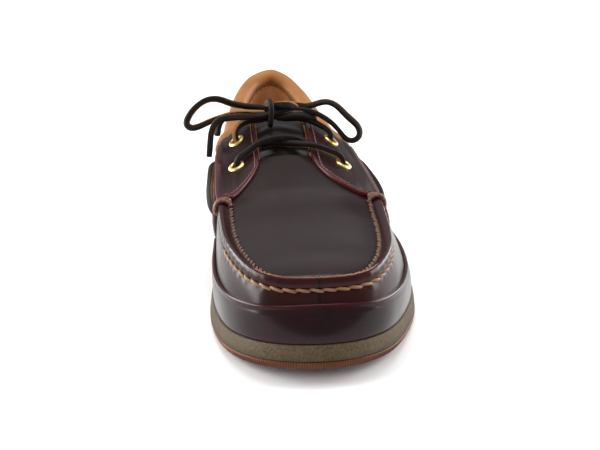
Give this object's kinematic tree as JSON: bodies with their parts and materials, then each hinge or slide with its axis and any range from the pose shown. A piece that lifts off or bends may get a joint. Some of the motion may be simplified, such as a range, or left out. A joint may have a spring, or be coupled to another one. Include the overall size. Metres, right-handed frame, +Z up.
{
  "type": "boat shoe",
  "caption": "Low lace-up boat shoe for the left foot with a moccasin-stitched toe, two-eyelet throat, padded collar and flat rubber sole.",
  "frame": {"origin": "centre of the shoe's bounding box on the floor, measured without the free lace", "axes": "+Z up from the floor, -Y towards the toe, +X towards the outer (lateral) side of the left shoe"},
  "size_m": [0.1188, 0.296, 0.0969],
  "materials": {
    "outsole": "matte gum rubber",
    "midsole": "matte foam rubber",
    "insole": "matt leather-covered footbed",
    "upper": "semi-gloss burgundy leather",
    "mudguard": "semi-gloss burgundy leather",
    "quarter": "semi-gloss burgundy leather",
    "eyestay_medial": "semi-gloss burgundy leather",
    "eyestay_lateral": "semi-gloss burgundy leather",
    "collar": "soft tan leather over foam",
    "tongue": "soft dark leather",
    "eyelet_medial_lower": "polished",
    "eyelet_medial_upper": "polished",
    "eyelet_lateral_lower": "polished",
    "eyelet_lateral_upper": "polished",
    "lace_crossing": "matt rawhide",
    "lace_side_medial": "matt rawhide",
    "lace_side_lateral": "matt rawhide",
    "lace_rise_medial": "matt rawhide",
    "lace_rise_lateral": "matt rawhide",
    "lace_loop_medial": "matt rawhide",
    "lace_loop_lateral": "matt rawhide",
    "lace_end_front": "matt rawhide",
    "lace_end_back": "matt rawhide",
    "lace_knot": "matt rawhide"
  },
  "bodies": {
    "root": {"outsole": "outsole", "midsole": "midsole", "insole": "insole", "upper": "upper", "mudguard": "mudguard", "quarter": "quarter", "eyestay_medial": "eyestay_medial", "eyestay_lateral": "eyestay_lateral", "collar": "collar", "tongue": "tongue", "eyelet_medial_lower": "eyelet_medial_lower", "eyelet_medial_upper": "eyelet_medial_upper", "eyelet_lateral_lower": "eyelet_lateral_lower", "eyelet_lateral_upper": "eyelet_lateral_upper", "lace_crossing": "lace_crossing", "lace_side_medial": "lace_side_medial", "lace_side_lateral": "lace_side_lateral", "lace_rise_medial": "lace_rise_medial", "lace_rise_lateral": "lace_rise_lateral", "lace_loop_medial": "lace_loop_medial", "lace_loop_lateral": "lace_loop_lateral", "lace_end_front": "lace_end_front", "lace_end_back": "lace_end_back", "lace_knot": "lace_knot"}
  },
  "joints": []
}
